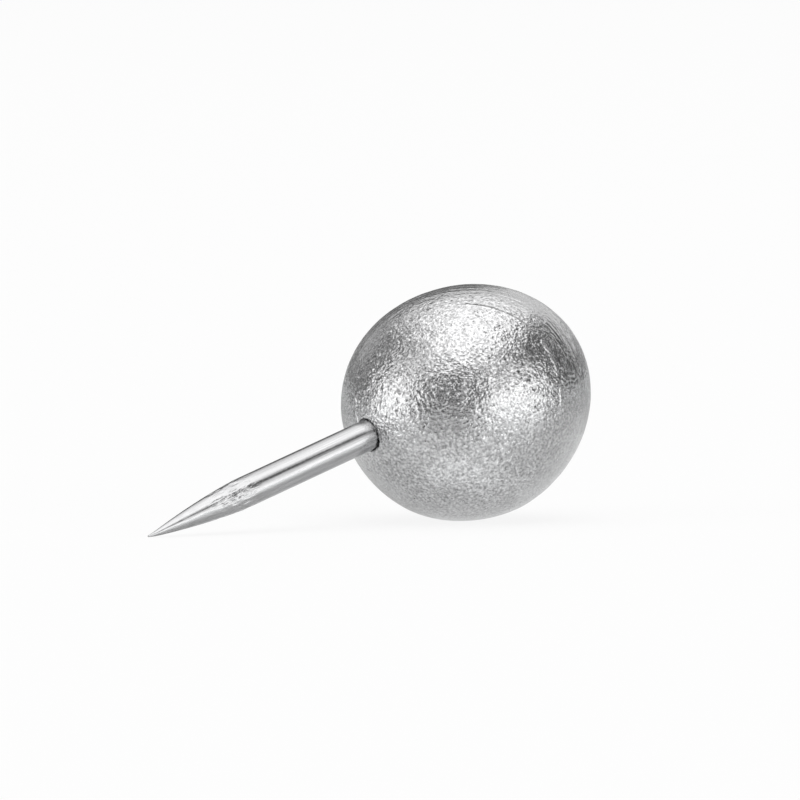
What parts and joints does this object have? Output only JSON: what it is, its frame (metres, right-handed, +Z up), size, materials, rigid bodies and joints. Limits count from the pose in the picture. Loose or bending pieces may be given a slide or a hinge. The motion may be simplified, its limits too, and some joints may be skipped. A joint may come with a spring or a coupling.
{
  "type": "push pin",
  "caption": "Ball-headed push pin: a silver-coated plastic ball moulded around a plated steel pin with a ground point, for pinning sheets to a board.",
  "frame": {"origin": "on the desk that the tack lies on, under the middle of its bounding box", "axes": "+Z up from the desk; the tack leans in the XZ plane with its point towards -X and its ball at +X, so that ball and point both touch the desk"},
  "size_m": [0.0174, 0.0078, 0.0078],
  "materials": {
    "silver_coating": "satin",
    "plated_steel": "polished"
  },
  "bodies": {
    "root": {"ball_head": "silver_coating", "steel_pin": "plated_steel"}
  },
  "joints": []
}
